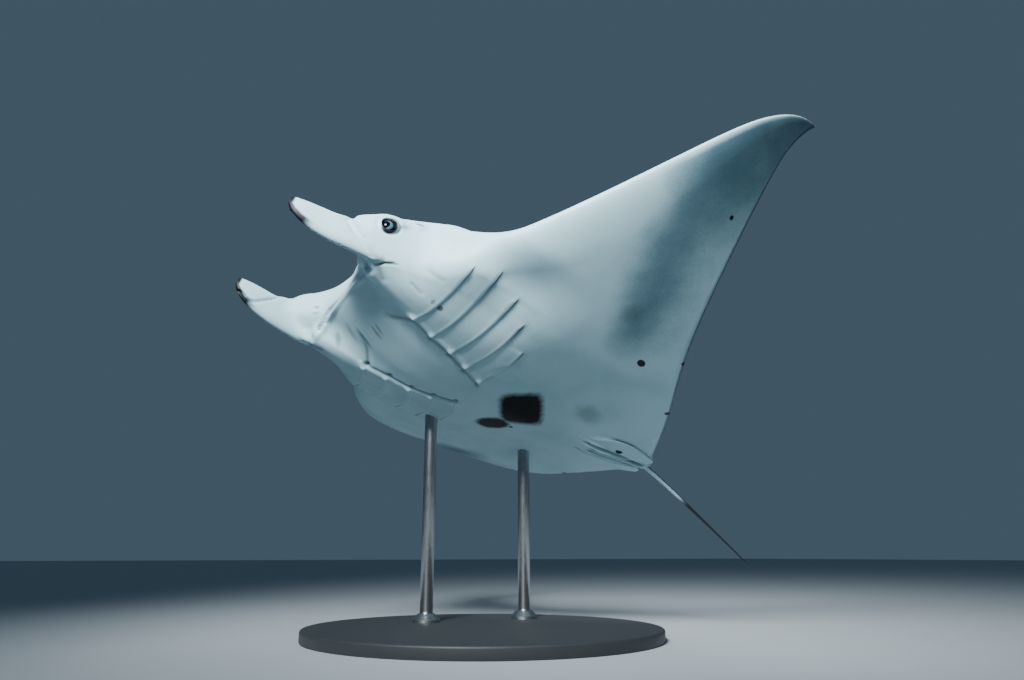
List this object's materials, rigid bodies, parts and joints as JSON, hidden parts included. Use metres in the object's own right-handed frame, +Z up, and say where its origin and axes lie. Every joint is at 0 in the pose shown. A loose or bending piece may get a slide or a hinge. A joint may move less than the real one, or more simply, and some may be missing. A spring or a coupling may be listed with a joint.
{
  "type": "manta ray model",
  "caption": "Life-size reef manta ray, wings raised in mid-stroke and horn fins furled, banking nose up on a round base with two slim rods.",
  "frame": {"origin": "middle of the underside of the display stand's round base", "axes": "+Z up; the animal heads along -Y with its nose raised, its left wing towards +X"},
  "size_m": [2.3516, 2.0945, 1.7479],
  "materials": {
    "skin": "satin painted skin, pale belly, dark back",
    "eye": "clear gloss over a dark pupil and a pale iris",
    "stand_paint": "satin powder coat",
    "stand_steel": "brushed"
  },
  "bodies": {
    "root": {"head": "skin", "trunk_front": "skin", "trunk_rear": "skin", "wing_inner_left": "skin", "wing_outer_left": "skin", "wing_inner_right": "skin", "wing_outer_right": "skin", "cephalic_fin_left": "skin", "cephalic_fin_right": "skin", "pelvic_fin_left": "skin", "pelvic_fin_right": "skin", "dorsal_fin": "skin", "tail_base": "skin", "tail_middle": "skin", "tail_tip": "skin", "eye_left": "eye", "eye_right": "eye", "stand_base": "stand_paint", "stand_rod_front": "stand_steel", "stand_rod_rear": "stand_steel", "stand_collar_front": "stand_steel", "stand_collar_rear": "stand_steel"}
  },
  "joints": []
}
